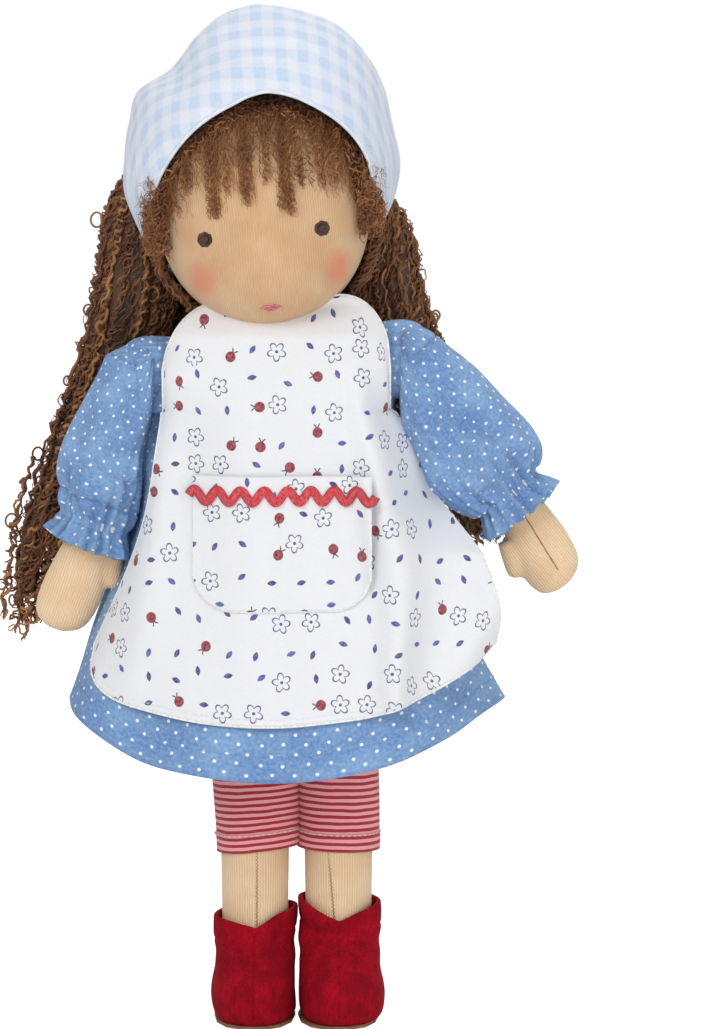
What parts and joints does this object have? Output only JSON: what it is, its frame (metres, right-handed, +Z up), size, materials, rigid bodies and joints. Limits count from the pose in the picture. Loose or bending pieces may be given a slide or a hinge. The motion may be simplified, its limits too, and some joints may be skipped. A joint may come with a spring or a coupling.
{
  "type": "waldorf doll",
  "caption": "Standing cloth doll with round stuffed head, curly yarn hair, headscarf, puff-sleeved dress, pocket apron, striped leggings and soft boots; head, arms and legs turn.",
  "frame": {"origin": "middle of the doll's box in plan, on the ground under its soles", "axes": "+Z up along the standing doll, the doll faces -Y, its own left side is +X"},
  "size_m": [0.2146, 0.1062, 0.3811],
  "materials": {
    "skin_tricot": "ribbed cotton knit, matte",
    "wool_stuffing": "carded sheep's wool",
    "hair_yarn": "curly mohair yarn",
    "eye_thread": "stranded cotton, slight sheen",
    "mouth_thread": "stranded cotton, slight sheen",
    "gingham_cotton": "light blue and white check, matte",
    "dress_cotton": "blue with white pin dots, matte",
    "apron_cotton": "white with small printed flowers, matte",
    "braid_cotton": "woven rickrack, matte",
    "legging_jersey": "red and pink striped jersey, matte",
    "boot_velour": "short pile",
    "boot_sole_leather": "matte",
    "cuff_elastic": "woven elastic",
    "button_plastic": "gloss"
  },
  "bodies": {
    "torso": {"torso_skin": "skin_tricot", "torso_stuffing": "wool_stuffing", "legging_seat": "legging_jersey", "neck_thread": "eye_thread", "dress_bodice": "dress_cotton", "dress_skirt": "dress_cotton", "dress_snap_upper": "button_plastic", "dress_snap_lower": "button_plastic", "apron_panel": "apron_cotton", "apron_pocket": "apron_cotton", "rickrack_braid": "braid_cotton", "apron_neckband": "apron_cotton", "apron_button": "button_plastic"},
    "head": {"head_skin": "skin_tricot", "head_core": "wool_stuffing", "eye_right": "eye_thread", "eye_left": "eye_thread", "mouth": "mouth_thread", "wig_cap": "hair_yarn", "fringe": "hair_yarn", "headscarf": "gingham_cotton", "scarf_knot": "gingham_cotton", "scarf_tie_right": "gingham_cotton", "scarf_tie_left": "gingham_cotton", "hair_left": "hair_yarn", "hair_right": "hair_yarn", "hair_back": "hair_yarn"},
    "arm_right": {"arm_right_skin": "skin_tricot", "arm_right_stuffing": "wool_stuffing", "sleeve_right": "dress_cotton", "cuff_elastic_right": "cuff_elastic"},
    "leg_right": {"leg_right_skin": "skin_tricot", "leg_right_stuffing": "wool_stuffing", "legging_right": "legging_jersey", "boot_right": "boot_velour", "boot_sole_right": "boot_sole_leather"},
    "arm_left": {"arm_left_skin": "skin_tricot", "arm_left_stuffing": "wool_stuffing", "sleeve_left": "dress_cotton", "cuff_elastic_left": "cuff_elastic"},
    "leg_left": {"leg_left_skin": "skin_tricot", "leg_left_stuffing": "wool_stuffing", "legging_left": "legging_jersey", "boot_left": "boot_velour", "boot_sole_left": "boot_sole_leather"}
  },
  "joints": [
    {"name": "head_turn", "type": "hinge", "parent": "torso", "child": "head", "pos_m": [-0.0066, -0.0006, 0.2625], "axis": [-0.0958, 0, 0.9954], "range_deg": [-40, 40], "deforming": ["hair_left", "hair_right", "hair_back"]},
    {"name": "shoulder_right", "type": "hinge", "parent": "torso", "child": "arm_right", "pos_m": [-0.0503, -0.0036, 0.247], "axis": [-1, 0, 0], "range_deg": [0, 110]},
    {"name": "shoulder_left", "type": "hinge", "parent": "torso", "child": "arm_left", "pos_m": [0.0403, -0.0036, 0.247], "axis": [-1, 0, 0], "range_deg": [0, 110]},
    {"name": "hip_left", "type": "hinge", "parent": "torso", "child": "leg_left", "pos_m": [0.0178, -0.0006, 0.14], "axis": [-1, 0, 0], "range_deg": [-10, 90], "deforming": ["dress_skirt", "apron_panel", "apron_pocket", "rickrack_braid"]},
    {"name": "hip_right", "type": "hinge", "parent": "torso", "child": "leg_right", "pos_m": [-0.01365, -0.0006, 0.14], "axis": [-1, 0, 0], "range_deg": [-10, 90]}
  ],
  "couplings": [
    {"joint": "hip_right", "follows": "hip_left", "ratio": 1}
  ]
}
